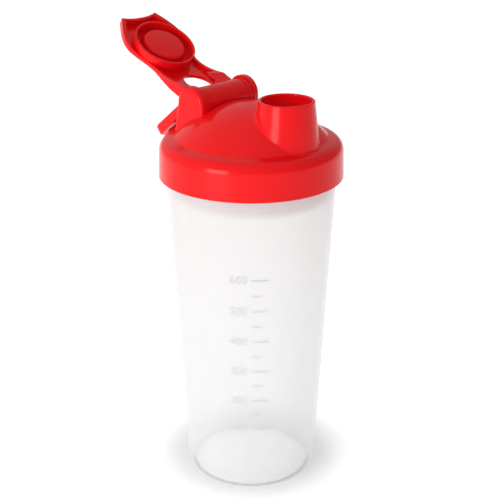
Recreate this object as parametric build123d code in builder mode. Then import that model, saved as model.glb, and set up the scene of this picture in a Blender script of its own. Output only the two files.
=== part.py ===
from build123d import *
from math import cos, hypot, radians, sin, sqrt, tan
import os

os.makedirs("parts", exist_ok=True)

# Protein shaker bottle: a tapered cup with a screwed neck, a mixing strainer hung in its mouth, a screw
# lid with a drinking spout, and a flip cap and a carry loop that turn on one hinge behind the spout.
# +Z is up, the origin is the centre of the base, the spout stands towards -Y, the hinge lies along X.
# Sizes are in millimetres and the cap is modelled open.

# cup
cup_height = 187.0  # base to rim
base_radius = 36.05
neck_radius = 44.3  # core of the threaded neck
neck_length = 13.5  # shoulder to rim
neck_step = 0.85  # the body stands out this much below the neck
cup_wall = 1.6
neck_wall = 1.7
floor_thickness = 2.0
foot_recess = 1.2
foot_width = 4.5
base_edge_radius = 2.5
floor_corner_radius = 5.0
rim_round = 0.5

# thread, right-handed, four starts
thread_starts = 4
thread_lead = 24.0
thread_height = 1.4  # crest above the core
thread_root_width = 2.0
thread_crest_width = 1.0
thread_rise = 7.0  # axial travel of one ridge
thread_foot = 2.4  # ridge centre above the shoulder at its low end
thread_engagement = 0.7  # radial overlap of lug and ridge
thread_play = 0.3  # axial gap between lug and ridge
thread_bury = 0.4  # how deep a ridge is rooted in its wall
lug_rise = 4.6

# strainer
flange_thickness = 1.2
strainer_wall = 1.2
strainer_depth = 26.0  # rim to underside
strainer_draft = 1.0
sieve_thickness = 1.8
sieve_hole_diameter = 6.0
sieve_hole_pitch = 9.0
sieve_margin = 4.0
strainer_gap = 0.3

# lid
skirt_wall = 2.1
skirt_drop = 1.2  # skirt edge below the cup's shoulder
skirt_taper = 0.6
crest_gap = 1.2  # lid wall outside the ridge crests
ceiling_gap = 0.1
ceiling_thickness = 2.7  # at the shoulder corner
shoulder_radius = 6.0
land_width = 8.6
land_rise = 2.0
dome_rise = 18.0
dome_wall = 1.9
crease_radius = 1.5
seal_thickness = 1.5
seal_depth = 5.3
seal_gap = 0.3
bead_height = 0.55
bead_width = 1.4
bead_above_end = 1.3
bead_gap = 0.3

# spout
spout_inset = 15.3  # spout axis inside the dome's edge
spout_rise = 5.6  # rim above the dome's top
spout_radius = 14.45
spout_wall = 1.55
spout_draft = 6.7
spout_seat_depth = 7.0  # straight part of the bore that the plug enters
lip_round = 0.6
spout_foot_radius = 1.5

# hinge, shared by the lid, the flip cap and the carry loop
hinge_inset = 16.5  # hinge axis inside the dome's edge
hinge_drop = 2.6  # hinge axis below the dome's top
ear_radius = 9.5
ear_offset = 0.6  # ears' round top behind the hinge axis
ear_lift = 0.3  # and above it
ear_thickness = 4.5
ear_lean = 3.6
ear_edge_radius = 2.1
barrel_radius = 8.3
barrel_length = 28.2
pin_radius = 3.0
pin_reach = 2.8  # how far a trunnion enters its ear
pin_clearance = 0.05
eye_width = 2.3
side_gap = 0.3
pocket_gap = 0.7
pocket_wall = 1.8

# flip cap
open_angle = 32.3  # arm above the horizontal when open
plug_depth = 4.7
plug_clearance = 0.12
plug_taper = 1.1
plug_round = 1.3
plug_crown = 0.9
ring_gap = 1.1  # ring outside the spout wall at its lower edge
ring_wall = 1.2
ring_depth = 5.6
cap_thickness = 2.2
cap_gap = 0.1  # closed cap above the spout's rim
rim_height = 2.3  # tray rim above the tray floor
tip_lift = 1.6  # how far the rim rises towards the tip
strut_lift = 3.4  # and towards the barrel
strut_drop = 6.2  # underside of the strut roots below the hinge axis
rim_wall = 1.7
cap_margin = 2.6  # tray outside the ring at the widest place
cap_waist = 15.4
root_overhang = 2.2  # struts past the barrel's end
strut_flare = 0.2
root_reach = 12.5  # where the underside of the struts is lowest
root_heading = (0.1, 1)  # way the outline leaves the root
waist_offset = 6.0  # narrowest place past the ring's near edge
hip_offset = 6.0  # widest place past the plug's centre
tip_half_width = 11.9
tip_reach = 25.2  # tip corners beyond the plug's centre
tip_heading = (-0.6, 1)
tip_hollow = 2.0
hollow_heading = (1, 0.45)
dome_gap = 0.4  # closed struts above the dome
strut_width = 6.3  # beside the finger hole
hole_start_share = 0.14  # place of the finger hole in the web between barrel and ring
hole_end_share = 0.755
hole_corner_radius = 2.6
cap_edge_radius = 2.4

# carry loop
loop_angle = -39.2  # arms against the horizontal
loop_reach = 41.0
loop_thickness = 5.6
loop_arm_width = 4.6
loop_bar_width = 5.2
loop_corner_radius = 6.0
loop_edge_radius = 1.2
loop_swing = 7.0  # how far the loop can lift under the open cap
loop_taper_end = 12.9  # where the arms reach their full width
eye_radius = 8.65
loop_offset = 1.5  # underside of the loop above the hinge axis

tolerance = 0.01  # for picking corners by their place

# places and sizes that follow from the ones above
shoulder_height = cup_height - neck_length
body_radius = neck_radius + neck_step
cup_draft = (body_radius - base_radius) / shoulder_height
neck_bore = neck_radius - neck_wall
floor_top = foot_recess + floor_thickness
floor_radius = base_radius - cup_wall + cup_draft * floor_top

ridge_crest = neck_radius + thread_height
lid_bore = ridge_crest + crest_gap
lid_radius = lid_bore + skirt_wall
lug_crest = ridge_crest - thread_engagement
skirt_bottom = shoulder_height - skirt_drop
flange_top = cup_height + flange_thickness
ceiling = flange_top + ceiling_gap
shoulder_corner = ceiling + ceiling_thickness
shoulder_edge = lid_radius - skirt_taper
dome_radius = lid_radius - land_width
dome_base = shoulder_corner + land_rise
dome_top = dome_base + dome_rise
dome_sphere = (dome_radius**2 + dome_rise**2) / (2 * dome_rise)
dome_centre = dome_top - dome_sphere

strainer_radius = neck_bore - strainer_gap
strainer_bore = strainer_radius - strainer_wall
strainer_bottom = cup_height - strainer_depth
seal_radius = strainer_bore - seal_gap
seal_bore = seal_radius - seal_thickness
seal_bottom = ceiling - seal_depth
bead_height_above_base = seal_bottom + bead_above_end

spout_y = -(dome_radius - spout_inset)
spout_rim = dome_top + spout_rise
spout_bore = spout_radius - spout_wall
hinge_y = dome_radius - hinge_inset
hinge_z = dome_top - hinge_drop
arm_length = hinge_y - spout_y

ear_inner = barrel_length / 2 + eye_width + 2 * side_gap
pocket_radius = barrel_radius + pocket_gap
socket_radius = pin_radius + pin_clearance

rim_level = spout_rim - hinge_z  # spout rim above the hinge axis
tray_floor = -(rim_level + cap_gap)  # heights on the cap run from the hinge axis towards its inner face
cap_face = tray_floor - cap_thickness
tray_rim = tray_floor + rim_height
tip_rim = tray_rim + tip_lift
strut_rim = tray_rim + strut_lift
strut_base = -strut_drop
ring_edge = -rim_level + ring_depth
plug_end = -rim_level + plug_depth
plug_radius = spout_bore - plug_clearance
ring_bore = spout_radius + ring_depth * tan(radians(spout_draft)) + ring_gap
ring_radius = ring_bore + ring_wall
cap_half_width = ring_radius + cap_margin
web_length = arm_length - ring_radius - barrel_radius
hole_start = barrel_radius + hole_start_share * web_length
hole_end = barrel_radius + hole_end_share * web_length
root_start = eye_radius + side_gap
root_half_width = barrel_length / 2 + root_overhang
strut_half_width = root_half_width + strut_flare
hole_half_width = root_half_width - strut_width
waist = arm_length - ring_radius + waist_offset
loop_top = loop_offset + loop_thickness
tip = arm_length + tip_reach


def in_rows(count, pitch):
    """Centres of a triangular pattern that covers count rows each way."""
    places = []
    for row in range(-count, count + 1):
        shift = 0.5 * pitch * (row % 2)
        places += [(column * pitch + shift, row * pitch * sqrt(3) / 2) for column in range(-count, count + 1)]
    return places


def draw_cap_outline(inset):
    """Plan of the flip cap's tray and struts, drawn inset from its edge."""
    edge = Spline(
        (root_half_width - inset, root_start),
        (strut_half_width - inset, hole_end - hole_half_width / 2),
        (cap_waist - inset, waist),
        (cap_half_width - inset, arm_length + hip_offset),
        (tip_half_width - inset, tip - inset),
        tangents=(root_heading, tip_heading),
    )
    Polyline(
        edge @ 0,
        (barrel_length / 2 - inset, root_start),
        (barrel_length / 2 - inset, 0),
        (0, 0),
    )
    Spline((0, tip - tip_hollow - inset), edge @ 1, tangents=((1, 0), hollow_heading))
    mirror(about=Plane.YZ)


# one thread ridge, swept up its helix from a trapezium
with BuildPart() as ridge:
    with BuildLine() as ridge_path:
        Helix(thread_lead, thread_rise, neck_radius, center=(0, 0, shoulder_height + thread_foot))
    ridge_start = ridge_path.line @ 0
    with BuildSketch(Plane(origin=ridge_start, x_dir=(1, 0, 0), z_dir=ridge_path.line % 0)):
        with BuildLine():
            Polyline(
                (-thread_bury, -thread_root_width / 2),
                (0, -thread_root_width / 2),
                (thread_height, -thread_crest_width / 2),
                (thread_height, thread_crest_width / 2),
                (0, thread_root_width / 2),
                (-thread_bury, thread_root_width / 2),
                close=True,
            )
        make_face()
    sweep(path=ridge_path.line, is_frenet=True)

# one lug inside the lid, on the same helix just under its ridge
lug_drop = thread_root_width / 2 + thread_crest_width / 2 + thread_play
lug_lead_in = (thread_rise - lug_rise) / 2
lug_height = lid_bore - lug_crest
with BuildPart() as lug:
    with BuildLine() as lug_path:
        Helix(
            thread_lead,
            lug_rise,
            lid_bore,
            center=(0, 0, shoulder_height + thread_foot + lug_lead_in - lug_drop),
        )
    lug_start = lug_path.line @ 0
    with BuildSketch(Plane(origin=lug_start, x_dir=(1, 0, 0), z_dir=lug_path.line % 0)):
        with BuildLine():
            Polyline(
                (thread_bury, -thread_root_width / 2),
                (0, -thread_root_width / 2),
                (-lug_height, -thread_crest_width / 2),
                (-lug_height, thread_crest_width / 2),
                (0, thread_root_width / 2),
                (thread_bury, thread_root_width / 2),
                close=True,
            )
        make_face()
    sweep(path=lug_path.line, is_frenet=True)


# cup: one revolved wall on a foot ring
with BuildPart() as cup:
    with BuildSketch(Plane.XZ) as cup_section:
        with BuildLine():
            Polyline(
                (0, foot_recess),
                (base_radius - foot_width - foot_recess, foot_recess),
                (base_radius - foot_width, 0),
                (base_radius, 0),
                (body_radius, shoulder_height),
                (neck_radius, shoulder_height),
                (neck_radius, cup_height),
                (neck_bore, cup_height),
                (neck_bore, shoulder_height),
                (body_radius - cup_wall - cup_draft * cup_wall, shoulder_height - cup_wall),
                (floor_radius, floor_top),
                (0, floor_top),
                close=True,
            )
        make_face()
        corners = cup_section.vertices()
        fillet(corners.sort_by_distance((base_radius, 0))[0], base_edge_radius)
        fillet(cup_section.vertices().sort_by_distance((floor_radius, floor_top))[0], floor_corner_radius)
        rim_corners = cup_section.vertices().filter_by(lambda v: abs(v.Y - cup_height) < tolerance)
        fillet(rim_corners, rim_round)
    revolve(axis=Axis.Z)
    with PolarLocations(0, thread_starts):
        add(ridge.part)
cup.part.label = "cup"

# strainer: a collar hung from the cup's rim with a perforated floor
with BuildPart() as strainer:
    with BuildSketch(Plane.XZ) as strainer_section:
        with BuildLine():
            Polyline(
                (0, strainer_bottom),
                (strainer_radius - strainer_draft, strainer_bottom),
                (strainer_radius, cup_height),
                (neck_radius, cup_height),
                (neck_radius, flange_top),
                (strainer_bore, flange_top),
                (strainer_bore - strainer_draft, strainer_bottom + sieve_thickness),
                (0, strainer_bottom + sieve_thickness),
                close=True,
            )
        make_face()
    revolve(axis=Axis.Z)
    # groove that snaps over the bead on the lid's seal ring
    with BuildSketch(Plane.XZ):
        with Locations((strainer_bore, bead_height_above_base)):
            Rectangle(2 * (bead_height + bead_gap - seal_gap), bead_width + 2 * bead_gap)
    revolve(axis=Axis.Z, mode=Mode.SUBTRACT)
    # sieve holes
    sieve_radius = strainer_bore - strainer_draft - sieve_margin
    rows = int(sieve_radius / sieve_hole_pitch) + 2
    places = [
        place
        for place in in_rows(rows, sieve_hole_pitch)
        if hypot(*place) + sieve_hole_diameter / 2 <= sieve_radius
    ]
    with BuildSketch(Plane.XY.offset(strainer_bottom)):
        with Locations(*places):
            Circle(sieve_hole_diameter / 2)
    extrude(amount=sieve_thickness, mode=Mode.SUBTRACT)
strainer.part.label = "strainer"

# space inside the lid: thread bore, annular seal ring left standing, domed ceiling
inner_sphere = dome_sphere - dome_wall
inner_edge = dome_centre + sqrt(inner_sphere**2 - seal_bore**2)
with BuildPart() as lid_space:
    with BuildSketch(Plane.XZ):
        with BuildLine():
            Polyline(
                (0, dome_centre + inner_sphere),
                (0, skirt_bottom),
                (lid_bore, skirt_bottom),
                (lid_bore, ceiling),
                (seal_radius, ceiling),
                (seal_radius, bead_height_above_base + bead_width / 2),
                (seal_radius + bead_height, bead_height_above_base),
                (seal_radius, bead_height_above_base - bead_width / 2),
                (seal_radius, seal_bottom),
                (seal_bore, seal_bottom),
                (seal_bore, inner_edge),
            )
            RadiusArc((seal_bore, inner_edge), (0, dome_centre + inner_sphere), -inner_sphere)
        make_face()
    revolve(axis=Axis.Z)
    # the floor of the hinge pocket stays closed
    with BuildSketch(Plane.YZ.offset(-ear_inner - pocket_wall)):
        with Locations((hinge_y, hinge_z)):
            Circle(pocket_radius + pocket_wall)
    extrude(amount=2 * (ear_inner + pocket_wall), mode=Mode.SUBTRACT)

# hinge ears, rounded on their outer edges
with BuildPart() as ears:
    with BuildSketch(Plane.YZ.offset(ear_inner)):
        with BuildLine():
            ear_top = CenterArc((hinge_y + ear_offset, hinge_z + ear_lift), ear_radius, 0, 180)
            Polyline(
                ear_top @ 1,
                (hinge_y + ear_offset - ear_radius, ceiling + ceiling_thickness / 2),
                (hinge_y + ear_offset + ear_radius + ear_lean, ceiling + ceiling_thickness / 2),
                ear_top @ 0,
            )
        make_face()
    extrude(amount=ear_thickness)
    outer_edges = ears.faces().sort_by(Axis.X)[-1].edges().sort_by(Axis.Z)[1:]
    fillet(outer_edges, ear_edge_radius)
    mirror(about=Plane.YZ)

with BuildPart() as lid:
    with BuildSketch(Plane.XZ) as lid_section:
        with BuildLine():
            Polyline(
                (0, dome_top),
                (0, skirt_bottom),
                (lid_radius, skirt_bottom),
                (shoulder_edge, shoulder_corner),
                (dome_radius, dome_base),
            )
            RadiusArc((dome_radius, dome_base), (0, dome_top), -dome_sphere)
        make_face()
        fillet(lid_section.vertices().sort_by_distance((shoulder_edge, shoulder_corner))[0], shoulder_radius)
        fillet(lid_section.vertices().sort_by_distance((dome_radius, dome_base))[0], crease_radius)
    revolve(axis=Axis.Z)
    # spout wall, wider towards its foot
    with BuildSketch(Plane.XY.offset(spout_rim)):
        with Locations((0, spout_y)):
            Circle(spout_radius)
    extrude(amount=-(spout_rim - ceiling), taper=-spout_draft)
    foot = lid.edges(Select.NEW).filter_by(lambda e: dome_base - crease_radius < e.center().Z < dome_top)
    fillet(foot, spout_foot_radius)
    add(ears.part)
    add(lid_space.part, mode=Mode.SUBTRACT)
    # pocket for the barrel and the loop's eyes, open to the back
    with BuildSketch(Plane.YZ.offset(-ear_inner)):
        with Locations((hinge_y, hinge_z)):
            Circle(pocket_radius)
        with BuildLine():
            Polyline(
                (hinge_y - pocket_radius, hinge_z),
                (hinge_y - pocket_radius, spout_rim),
                (lid_radius, spout_rim),
                (lid_radius, hinge_z - pocket_radius),
                (hinge_y, hinge_z - pocket_radius),
                (hinge_y, hinge_z),
                close=True,
            )
        make_face()
    extrude(amount=2 * ear_inner, mode=Mode.SUBTRACT)
    # blind sockets for the trunnions
    with BuildSketch(Plane.YZ.offset(-ear_inner - pin_reach)):
        with Locations((hinge_y, hinge_z)):
            Circle(socket_radius)
    extrude(amount=2 * (ear_inner + pin_reach), mode=Mode.SUBTRACT)
    # spout bore: a straight seat for the plug, then wider down to the dome
    with BuildSketch(Plane.XY.offset(spout_rim)):
        with Locations((0, spout_y)):
            Circle(spout_bore)
    extrude(amount=-spout_seat_depth, mode=Mode.SUBTRACT)
    with BuildSketch(Plane.XY.offset(spout_rim - spout_seat_depth)):
        with Locations((0, spout_y)):
            Circle(spout_bore)
    seat_end = spout_rim - spout_seat_depth
    extrude(amount=dome_base + crease_radius - seat_end, taper=-spout_draft, mode=Mode.SUBTRACT)
    circles = lid.edges().filter_by(GeomType.CIRCLE)
    lip = circles.filter_by(lambda e: abs(e.center().Z - spout_rim) < tolerance)
    fillet(lip, lip_round)
    with PolarLocations(0, thread_starts, start_angle=360 * lug_lead_in / thread_lead):
        add(lug.part)
lid.part.label = "lid"

# flip cap, on the hinge: x across, y along the arm, z towards the inner face
hinge_point = (0, hinge_y, hinge_z)
lean = radians(open_angle)
inward = Vector(0, -sin(lean), cos(lean))
along = Vector(0, cos(lean), sin(lean))
cap_plane = Plane(origin=hinge_point, x_dir=(1, 0, 0), z_dir=inward)
cap_side = Plane(origin=hinge_point, x_dir=along, z_dir=(1, 0, 0))
plug_plane = Plane(origin=cap_plane.from_local_coords((0, arm_length, 0)), x_dir=(1, 0, 0), z_dir=-along)
# hollow of the tray and of the channelled struts, with the rim of the finger hole left standing
with BuildPart() as cap_hollow:
    with BuildSketch(cap_plane.offset(tray_floor)):
        with BuildLine():
            draw_cap_outline(rim_wall)
        make_face()
    extrude(amount=strut_rim - tray_floor)
    with BuildSketch(cap_side.offset(-cap_half_width)):
        with BuildLine():
            Polyline(
                (root_reach, strut_rim),
                (root_reach, strut_base + cap_thickness),
                (arm_length - ring_bore, tray_floor),
                (tip, tray_floor),
                (tip, strut_rim),
                close=True,
            )
        make_face()
    extrude(amount=2 * cap_half_width, mode=Mode.INTERSECT)

with BuildPart() as flip_cap:
    # plan of the tray and its struts
    with BuildSketch(cap_plane.offset(cap_face)):
        with BuildLine():
            draw_cap_outline(0)
        make_face()
    extrude(amount=barrel_radius - cap_face)
    outer_face = flip_cap.faces().filter_by(Axis(hinge_point, inward)).sort_by(Axis(hinge_point, inward))[0]
    edges = outer_face.edges()
    outer_edges = edges.filter_by(lambda e: (e.center() - Vector(hinge_point)).length > root_reach)
    fillet(outer_edges, cap_edge_radius)
    # side view of the arm, between the barrel and the tip
    with BuildSketch(cap_side.offset(-cap_half_width - rim_wall)):
        with BuildLine():
            Polyline(
                (tip + rim_wall, tip_rim),
                (tip + rim_wall, cap_face),
                (waist, cap_face),
                (root_reach, strut_base),
                (barrel_radius, -barrel_radius / 2),
                (0, -barrel_radius / 2),
                (0, barrel_radius / 2),
            )
            Spline(
                (0, barrel_radius / 2),
                (barrel_radius, barrel_radius / 2),
                (hole_start + hole_half_width, strut_rim),
                (arm_length - ring_radius, tray_rim),
                (arm_length + ring_radius / 2, tray_rim),
                (tip + rim_wall, tip_rim),
            )
        make_face()
    extrude(amount=2 * (cap_half_width + rim_wall), mode=Mode.INTERSECT)
    add(cap_hollow.part, mode=Mode.SUBTRACT)
    # finger hole between the struts, round towards the ring and flat towards the barrel
    with BuildSketch(cap_plane.offset(cap_face)):
        with BuildLine():
            Polyline(
                (-hole_half_width, hole_end - hole_half_width),
                (-hole_half_width + hole_corner_radius, hole_start),
                (hole_half_width - hole_corner_radius, hole_start),
                (hole_half_width, hole_end - hole_half_width),
            )
            CenterArc((0, hole_end - hole_half_width), hole_half_width, 0, 180)
        make_face()
    extrude(amount=barrel_radius - cap_face, mode=Mode.SUBTRACT)
    # room for the carry loop's eyes and arms beside the barrel
    for side in (-1, 1):
        with BuildSketch(Plane.YZ.offset(side * barrel_length / 2)):
            with Locations((hinge_y, hinge_z)):
                Rectangle(
                    loop_reach,
                    2 * (loop_top + side_gap),
                    rotation=loop_angle + loop_swing,
                    align=(Align.MIN, Align.CENTER),
                )
                Circle(root_start)
        extrude(amount=side * cap_half_width, mode=Mode.SUBTRACT)
    # room for the dome under the closed struts
    with Locations(cap_plane.from_local_coords((0, hinge_y, hinge_z - dome_centre))):
        Sphere(dome_sphere + dome_gap, mode=Mode.SUBTRACT)
    # skirt ring and plug
    with BuildSketch(cap_plane.offset(tray_floor)):
        with Locations((0, arm_length)):
            Circle(ring_radius)
            Circle(ring_bore, mode=Mode.SUBTRACT)
    extrude(amount=ring_edge - tray_floor)
    with BuildSketch(plug_plane) as plug_section:
        with BuildLine():
            Polyline(
                (0, plug_end + plug_crown),
                (0, tray_floor),
                (plug_radius, tray_floor),
                (plug_radius, -rim_level),
                (plug_radius - plug_taper, plug_end),
            )
            crown_radius = ((plug_radius - plug_taper) ** 2 + plug_crown**2) / (2 * plug_crown)
            RadiusArc((plug_radius - plug_taper, plug_end), (0, plug_end + plug_crown), -crown_radius)
        make_face()
        fillet(plug_section.vertices().sort_by_distance((plug_radius - plug_taper, plug_end))[0], plug_round)
    revolve(axis=Axis(plug_plane.origin, inward))
    # barrel and its two trunnions
    with BuildSketch(Plane.YZ.offset(-barrel_length / 2)):
        with Locations((hinge_y, hinge_z)):
            Circle(barrel_radius)
    extrude(amount=barrel_length)
    with BuildSketch(Plane.YZ.offset(-ear_inner - pin_reach + side_gap)):
        with Locations((hinge_y, hinge_z)):
            Circle(pin_radius)
    extrude(amount=2 * (ear_inner + pin_reach - side_gap))
flip_cap.part.label = "flip_cap"

# carry loop: a U whose eyes ride on the trunnions, resting on the lid's shoulder
droop = radians(loop_angle)
loop_plane = Plane(origin=hinge_point, x_dir=(1, 0, 0), z_dir=(0, -sin(droop), cos(droop)))
loop_half_width = ear_inner - side_gap
eye_inner = loop_half_width - eye_width
with BuildPart() as carry_loop:
    with BuildSketch(loop_plane.offset(loop_offset)) as loop_plan:
        with BuildLine():
            Polyline(
                (-loop_half_width, 0),
                (-loop_half_width, loop_reach),
                (loop_half_width, loop_reach),
                (loop_half_width, 0),
                close=True,
            )
        make_face()
        outer_corners = loop_plan.vertices().filter_by(lambda v: v.Y > loop_reach - tolerance)
        fillet(outer_corners, loop_corner_radius)
        with BuildLine():
            Polyline(
                (-eye_inner, -pin_radius),
                (-eye_inner, ear_radius + side_gap),
                (-loop_half_width + loop_arm_width, loop_taper_end),
                (-loop_half_width + loop_arm_width, loop_reach - loop_bar_width),
                (loop_half_width - loop_arm_width, loop_reach - loop_bar_width),
                (loop_half_width - loop_arm_width, loop_taper_end),
                (eye_inner, ear_radius + side_gap),
                (eye_inner, -pin_radius),
                close=True,
            )
        make_face(mode=Mode.SUBTRACT)
        inner_corners = loop_plan.vertices().filter_by(
            lambda v: abs(v.Y - loop_reach + loop_bar_width) < tolerance
            and abs(v.X) < loop_half_width - loop_arm_width + tolerance
        )
        fillet(inner_corners, loop_corner_radius - loop_arm_width)
    extrude(amount=loop_thickness)
    flat_faces = carry_loop.faces().filter_by(loop_plane)
    outer_edges = flat_faces.edges().filter_by(
        lambda e: loop_plane.to_local_coords(e.center()).Y > eye_radius
    )
    fillet(outer_edges, loop_edge_radius)
    with BuildSketch(Plane.YZ.offset(-loop_half_width)):
        with Locations((hinge_y, hinge_z)):
            Circle(eye_radius)
    extrude(amount=eye_width)
    with BuildSketch(Plane.YZ.offset(eye_inner)):
        with Locations((hinge_y, hinge_z)):
            Circle(eye_radius)
    extrude(amount=eye_width)
    with BuildSketch(Plane.YZ.offset(-loop_half_width)):
        with Locations((hinge_y, hinge_z)):
            Circle(socket_radius)
    extrude(amount=2 * loop_half_width, mode=Mode.SUBTRACT)
carry_loop.part.label = "carry_loop"

export_step(cup.part, "parts/cup.step")
export_step(strainer.part, "parts/strainer.step")
export_step(lid.part, "parts/lid.step")
export_step(flip_cap.part, "parts/flip_cap.step")
export_step(carry_loop.part, "parts/carry_loop.step")
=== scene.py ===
import bmesh
import bpy
from math import cos, pi, radians, sin
from mathutils import Matrix, Vector


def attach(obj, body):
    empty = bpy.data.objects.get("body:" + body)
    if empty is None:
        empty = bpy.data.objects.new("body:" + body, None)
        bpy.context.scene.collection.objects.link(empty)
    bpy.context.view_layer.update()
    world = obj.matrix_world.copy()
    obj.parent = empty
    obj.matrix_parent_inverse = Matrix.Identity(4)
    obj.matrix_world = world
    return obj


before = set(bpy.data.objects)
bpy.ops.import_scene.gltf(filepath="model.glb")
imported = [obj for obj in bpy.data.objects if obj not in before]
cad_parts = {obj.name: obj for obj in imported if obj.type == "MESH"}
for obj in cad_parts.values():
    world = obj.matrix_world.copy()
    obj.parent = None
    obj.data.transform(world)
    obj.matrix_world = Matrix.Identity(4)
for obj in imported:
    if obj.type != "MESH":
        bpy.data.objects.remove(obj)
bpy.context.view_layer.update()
mm = 0.001
print("frame loaded:", ", ".join(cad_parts))


def toLinear(hexColour):
    # sRGB hex to the linear values that shaders want
    channels = [int(hexColour[i:i + 2], 16) / 255 for i in (1, 3, 5)]
    linear = [c / 12.92 if c <= 0.04045 else ((c + 0.055) / 1.055) ** 2.4 for c in channels]
    return (*linear, 1.0)


def newMaterial(name):
    material = bpy.data.materials.new(name)
    material.use_nodes = True
    material.node_tree.nodes.clear()
    return material


def addNode(material, kind, links=None, inputs=None, **settings):
    # one node: settings are its own properties, inputs are socket values, links are sockets that feed it
    node = material.node_tree.nodes.new(kind)
    for key, value in settings.items():
        setattr(node, key, value)
    for key, value in (inputs or {}).items():
        node.inputs[key].default_value = value
    for key, socket in (links or {}).items():
        material.node_tree.links.new(socket, node.inputs[key])
    return node


def dress(thing, material):
    thing.data.materials.clear()
    thing.data.materials.append(material)


def newPiece(name, mesh, body, material):
    data = bpy.data.meshes.new(name)
    mesh.to_mesh(data)
    mesh.free()
    piece = bpy.data.objects.new(name, data)
    bpy.context.scene.collection.objects.link(piece)
    dress(piece, material)
    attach(piece, body)


noiseLow, noiseHigh = 0.3, 0.7   # nearly all of a noise texture's values lie between these

redPlastic = dict(
    colour="#EE1016",
    roughness=0.17,
    specular=0.2,
    ior=1.49,
    grainSize=0.9,           # mm, the faint orange peel of a moulded surface
    grainDepth=0.006,        # mm
    grainSharpness=0.6,
    flowSize=22.0,           # mm, slow changes of gloss across a moulding
    glossChange=0.05,
    edgeRadius=0.45,         # mm, radius that the mould leaves on every edge
    underSkin=0.12,          # share of light that travels under the skin
    underSkinReach=(0.004, 0.0008, 0.0006),   # m, for red, green and blue
    underSkinScale=0.5,
)


def makeRedPlastic():
    # injection-moulded polypropylene, coloured through: deep clean red, a soft waxy gloss and some light
    # under the skin
    s = redPlastic
    m = newMaterial("moulded_red_polypropylene")
    place = addNode(m, "ShaderNodeTexCoord")
    grain = addNode(m, "ShaderNodeTexNoise", {"Vector": place.outputs["Object"]},
                    {"Scale": 1 / (s["grainSize"] * mm), "Detail": 3.0, "Roughness": s["grainSharpness"]})
    flow = addNode(m, "ShaderNodeTexNoise", {"Vector": place.outputs["Object"]},
                   {"Scale": 1 / (s["flowSize"] * mm), "Detail": 2.0})
    gloss = addNode(m, "ShaderNodeMapRange", {"Value": flow.outputs["Fac"]},
                    {"From Min": noiseLow, "From Max": noiseHigh,
                     "To Min": s["roughness"] - s["glossChange"],
                     "To Max": s["roughness"] + s["glossChange"]})
    edge = addNode(m, "ShaderNodeBevel", None, {"Radius": s["edgeRadius"] * mm}, samples=6)
    bump = addNode(m, "ShaderNodeBump", {"Height": grain.outputs["Fac"], "Normal": edge.outputs["Normal"]},
                   {"Distance": s["grainDepth"] * mm, "Strength": 1.0})
    skin = addNode(m, "ShaderNodeBsdfPrincipled",
                   {"Roughness": gloss.outputs["Result"], "Normal": bump.outputs["Normal"]},
                   {"Base Color": toLinear(s["colour"]), "IOR": s["ior"], "Specular IOR Level": s["specular"],
                    "Subsurface Weight": s["underSkin"], "Subsurface Radius": s["underSkinReach"],
                    "Subsurface Scale": s["underSkinScale"]})
    addNode(m, "ShaderNodeOutputMaterial", {"Surface": skin.outputs["BSDF"]})
    return m


clearPlastic = dict(
    roughness=0.34,
    specular=0.5,
    ior=1.49,
    clearColour="#FEFEFE",   # light that goes straight through one skin
    glowShare=0.5,           # share of the scattered light that comes out on the far side
    edgeBlend=0.35,          # how far in from the edges the heavier veil reaches
    grainSize=0.6,           # mm, fine frosting from the mould
    grainDepth=0.010,        # mm
    cloudSize=30.0,          # mm, slow changes of milkiness
    cloudChange=0.04,
)

# veil is the share of light that one skin of the wall scatters, seen square on and at the edges
cupPlastic = dict(name="moulded_natural_polypropylene", colour="#FDFDFD", veil=0.27, edgeVeil=0.56)
strainerPlastic = dict(name="moulded_milky_polypropylene", colour="#FDFDFD", veil=0.27, edgeVeil=0.50)
# the marks are darker than the cup: painted shade for the shadows that the proud marks catch
markPlastic = dict(name="natural_polypropylene_painted_shade", colour="#E0E0E0", veil=0.40, edgeVeil=0.60)


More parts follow.
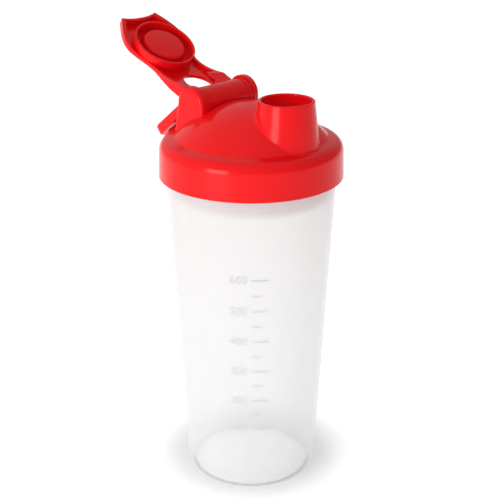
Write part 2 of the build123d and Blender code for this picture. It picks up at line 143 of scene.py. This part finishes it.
def makeClearPlastic(name, colour, veil, edgeVeil):
    # injection-moulded natural polypropylene: milky white, with a veil of frosting over what stands behind it
    s = clearPlastic
    m = newMaterial(name)
    place = addNode(m, "ShaderNodeTexCoord")
    grain = addNode(m, "ShaderNodeTexNoise", {"Vector": place.outputs["Object"]},
                    {"Scale": 1 / (s["grainSize"] * mm), "Detail": 2.0})
    bump = addNode(m, "ShaderNodeBump", {"Height": grain.outputs["Fac"]},
                   {"Distance": s["grainDepth"] * mm, "Strength": 1.0})
    cloud = addNode(m, "ShaderNodeTexNoise", {"Vector": place.outputs["Object"]},
                    {"Scale": 1 / (s["cloudSize"] * mm), "Detail": 2.0})
    facing = addNode(m, "ShaderNodeLayerWeight", None, {"Blend": s["edgeBlend"]})
    milk = addNode(m, "ShaderNodeMapRange", {"Value": facing.outputs["Facing"]},
                   {"From Min": 0.0, "From Max": 1.0, "To Min": veil, "To Max": edgeVeil})
    uneven = addNode(m, "ShaderNodeMapRange", {"Value": cloud.outputs["Fac"]},
                     {"From Min": noiseLow, "From Max": noiseHigh,
                      "To Min": 1 - s["cloudChange"], "To Max": 1 + s["cloudChange"]})
    share = addNode(m, "ShaderNodeMath", {0: milk.outputs["Result"], 1: uneven.outputs["Result"]},
                    operation="MULTIPLY", use_clamp=True)
    skin = addNode(m, "ShaderNodeBsdfPrincipled", {"Normal": bump.outputs["Normal"]},
                   {"Base Color": toLinear(colour), "Roughness": s["roughness"], "IOR": s["ior"],
                    "Specular IOR Level": s["specular"]})
    glow = addNode(m, "ShaderNodeBsdfTranslucent", {"Normal": bump.outputs["Normal"]},
                   {"Color": toLinear(colour)})
    body = addNode(m, "ShaderNodeMixShader", {1: skin.outputs["BSDF"], 2: glow.outputs["BSDF"]},
                   {"Fac": s["glowShare"]})
    through = addNode(m, "ShaderNodeBsdfTransparent", None, {"Color": toLinear(s["clearColour"])})
    mix = addNode(m, "ShaderNodeMixShader",
                  {"Fac": share.outputs["Value"], 1: through.outputs["BSDF"], 2: body.outputs["Shader"]})
    addNode(m, "ShaderNodeOutputMaterial", {"Surface": mix.outputs["Shader"]})
    return m


redPolypropylene = makeRedPlastic()
markPolypropylene = makeClearPlastic(**markPlastic)
for node in ("lid", "flip_cap", "carry_loop"):
    dress(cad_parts[node], redPolypropylene)
dress(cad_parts["cup"], makeClearPlastic(**cupPlastic))
dress(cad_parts["strainer"], makeClearPlastic(**strainerPlastic))
print("materials made")


graduation = dict(
    azimuth=-45.0,       # degrees from -Y towards +X
    steps=6,             # a long tick at each step and a short one between
    firstVolume=100,     # ml, the lowest number and what each step adds
    firstHeight=38.0,    # mm, and so are all the rest down to numberGap
    stepHeight=18.0,
    longTick=9.0,
    shortTick=5.5,
    tickHeight=0.9,
    tickEdge=0.12,       # radius of a tick's edges
    proud=0.28,          # out of the wall
    sunk=0.15,           # into it
    numberSize=6.2,
    numberGap=2.2,       # from the numbers to the ticks
    bends=6,             # cuts along a tick, so that it follows the wall
)

cupCone = dict(low=0.006, high=0.17, band=0.0036)   # m, where the cup's plain cone is measured


def cupRadiusNear(height):
    corners = [v.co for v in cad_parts["cup"].data.vertices]
    return max(corner.xy.length for corner in corners if abs(corner.z - height) < cupCone["band"])


lowRadius, highRadius = cupRadiusNear(cupCone["low"]), cupRadiusNear(cupCone["high"])
coneSlope = (highRadius - lowRadius) / (cupCone["high"] - cupCone["low"])
coneFoot = lowRadius - cupCone["low"] * coneSlope


def bendOntoCup(mesh):
    # x runs round the cup, z up, y is how far a point stands out of the wall
    for v in mesh.verts:
        radius = coneFoot + coneSlope * v.co.z
        angle = radians(graduation["azimuth"]) + v.co.x / radius
        reach = radius + v.co.y
        v.co = Vector((reach * sin(angle), -reach * cos(angle), v.co.z))


def makeTicks():
    s = graduation
    mesh = bmesh.new()
    depth = (s["proud"] + s["sunk"]) * mm
    middle = (s["proud"] - s["sunk"]) * mm / 2
    for halfStep in range(2 * s["steps"] - 1):
        width = (s["longTick"] if halfStep % 2 == 0 else s["shortTick"]) * mm
        height = (s["firstHeight"] + halfStep * s["stepHeight"] / 2) * mm
        made = bmesh.ops.create_cube(mesh, size=1.0)["verts"]
        bmesh.ops.scale(mesh, vec=(width, depth, s["tickHeight"] * mm), verts=made)
        bmesh.ops.translate(mesh, vec=(width / 2, middle, height), verts=made)
    lengthwise = [e for e in mesh.edges if e.calc_length() > s["shortTick"] * mm / 2]
    bmesh.ops.subdivide_edges(mesh, edges=lengthwise, cuts=s["bends"])
    sharp = [e for e in mesh.edges if e.calc_face_angle(0) > radians(30)]
    bmesh.ops.bevel(mesh, geom=sharp, offset=s["tickEdge"] * mm, affect="EDGES", segments=2, profile=0.5,
                    material=-1)
    bendOntoCup(mesh)
    newPiece("graduation_ticks", mesh, "cup", markPolypropylene)


def makeNumbers():
    s = graduation
    mesh = bmesh.new()
    middle = (s["proud"] - s["sunk"]) * mm / 2
    for step in range(s["steps"]):
        words = bpy.data.curves.new("number", "FONT")
        words.body = str(s["firstVolume"] * (step + 1))
        words.size = s["numberSize"] * mm
        words.extrude = (s["proud"] + s["sunk"]) * mm / 2
        words.align_x = "RIGHT"
        words.align_y = "CENTER"
        words.resolution_u = 4
        holder = bpy.data.objects.new("number", words)
        bpy.context.scene.collection.objects.link(holder)
        bpy.context.view_layer.update()
        data = bpy.data.meshes.new_from_object(holder)
        # the text lies in xy; it is stood up and moved left of its tick
        height = (s["firstHeight"] + step * s["stepHeight"]) * mm
        place = Matrix.Translation((-s["numberGap"] * mm, middle, height))
        data.transform(place @ Matrix.Rotation(pi / 2, 4, "X"))
        mesh.from_mesh(data)
        bpy.data.objects.remove(holder)
        bpy.data.curves.remove(words)
        bpy.data.meshes.remove(data)
    bmesh.ops.remove_doubles(mesh, verts=mesh.verts, dist=1e-6)
    bendOntoCup(mesh)
    bmesh.ops.recalc_face_normals(mesh, faces=mesh.faces)
    newPiece("graduation_numbers", mesh, "cup", markPolypropylene)


makeTicks()
makeNumbers()
print("graduation made")


floorPaper = dict(
    size=6.0,                        # m, from the middle to each side
    colour="#CBCBCB",
    glow=0.66,                       # the paper is lit from below as well, so that it stays white
    paintedShadowGlow=0.30,                   # but less so round the object's foot, which paints a shadow there
    footShade=(0.034, 0.064),        # m, from full painted shadow to none
    shadeCentre=(0.004, 0.004, 0),   # m, the painted shadow sits a little behind the object
    paintedBaseGlow=0.20,                   # painted light: a brighter pool on the paper under the cup, standing in for light that comes down through it
    paintedBaseEdge=(0.022, 0.036),         # m, from all of that painted light to none; with the painted shadow it leaves a painted dark ring round the cup's foot
)


def makeFloor():
    # matt white paper without grain, even apart from a painted shadow round the object's foot and a painted
    # pool of light under the cup
    s = floorPaper
    mesh = bmesh.new()
    bmesh.ops.create_grid(mesh, x_segments=1, y_segments=1, size=s["size"])
    data = bpy.data.meshes.new("studio_floor")
    mesh.to_mesh(data)
    mesh.free()
    floor = bpy.data.objects.new("studio_floor", data)
    bpy.context.scene.collection.objects.link(floor)
    m = newMaterial("studio_paper")
    place = addNode(m, "ShaderNodeTexCoord")
    # painted shadow: the paper glows less round the object's foot
    fromShade = addNode(m, "ShaderNodeVectorMath", {0: place.outputs["Object"]}, {1: s["shadeCentre"]},
                        operation="DISTANCE")
    shade = addNode(m, "ShaderNodeMapRange", {"Value": fromShade.outputs["Value"]},
                    {"From Min": s["footShade"][0], "From Max": s["footShade"][1],
                     "To Min": s["paintedShadowGlow"], "To Max": s["glow"]}, interpolation_type="SMOOTHSTEP")
    # painted light: a brighter pool on the paper under the cup
    fromMiddle = addNode(m, "ShaderNodeVectorMath", {0: place.outputs["Object"]}, operation="LENGTH")
    base = addNode(m, "ShaderNodeMapRange", {"Value": fromMiddle.outputs["Value"]},
                   {"From Min": s["paintedBaseEdge"][0], "From Max": s["paintedBaseEdge"][1],
                    "To Min": s["paintedBaseGlow"], "To Max": 0.0}, interpolation_type="SMOOTHSTEP")
    light = addNode(m, "ShaderNodeMath", {0: shade.outputs["Result"], 1: base.outputs["Result"]},
                    operation="ADD")
    paper = addNode(m, "ShaderNodeBsdfDiffuse", None, {"Color": toLinear(s["colour"])})
    glow = addNode(m, "ShaderNodeEmission", {"Strength": light.outputs["Value"]})
    both = addNode(m, "ShaderNodeAddShader", {0: paper.outputs["BSDF"], 1: glow.outputs["Emission"]})
    addNode(m, "ShaderNodeOutputMaterial", {"Surface": both.outputs["Shader"]})
    dress(floor, m)


room = dict(
    surroundings=0.53,               # brightness of the room, square to its bright side
    brightSide=(-0.45, 0.45, 0.77),
    brightGain=0.48,                 # how much brighter it is on that side, and darker on the other
)


def makeRoom():
    # a plain room, brightest above and on the camera's left
    world = bpy.data.worlds.new("studio_room")
    bpy.context.scene.world = world
    world.use_nodes = True
    world.node_tree.nodes.clear()
    place = addNode(world, "ShaderNodeTexCoord")
    side = addNode(world, "ShaderNodeVectorMath", {0: place.outputs["Generated"]},
                   {1: Vector(room["brightSide"]).normalized()}, operation="DOT_PRODUCT")
    glow = addNode(world, "ShaderNodeMath", {0: side.outputs["Value"]},
                   {1: room["brightGain"], 2: room["surroundings"]}, operation="MULTIPLY_ADD")
    walls = addNode(world, "ShaderNodeBackground", {"Strength": glow.outputs["Value"]})
    addNode(world, "ShaderNodeOutputWorld", {"Surface": walls.outputs["Background"]})


keySoftbox = dict(
    place=(-0.90, -0.06, 0.27),   # m
    target=(0, 0, 0.19),
    size=(0.42, 0.52),
    power=3.6,                    # W
)


def makeSoftbox():
    s = keySoftbox
    data = bpy.data.lights.new("key_softbox", "AREA")
    data.shape = "RECTANGLE"
    data.size, data.size_y = s["size"]
    data.energy = s["power"]
    lamp = bpy.data.objects.new("key_softbox", data)
    bpy.context.scene.collection.objects.link(lamp)
    lamp.location = s["place"]
    lamp.rotation_euler = (Vector(s["target"]) - Vector(s["place"])).to_track_quat("-Z", "Y").to_euler()


view = dict(
    place=(-430.9, -429.9, 369.6),   # mm
    heading=-45.0,                   # degrees about Z from looking along +Y
    down=21.63,                      # degrees below level
    lens=86.5,                       # mm
    sensor=36.0,                     # mm
)


def makeCamera():
    data = bpy.data.cameras.new("camera")
    data.lens = view["lens"]
    data.sensor_width = view["sensor"]
    camera = bpy.data.objects.new("camera", data)
    bpy.context.scene.collection.objects.link(camera)
    camera.location = Vector(view["place"]) * mm
    camera.rotation_euler = (radians(90 - view["down"]), 0, radians(view["heading"]))
    bpy.context.scene.camera = camera


makeFloor()
makeRoom()
makeSoftbox()
makeCamera()
bpy.context.scene.view_settings.view_transform = "Standard"
print("studio made")
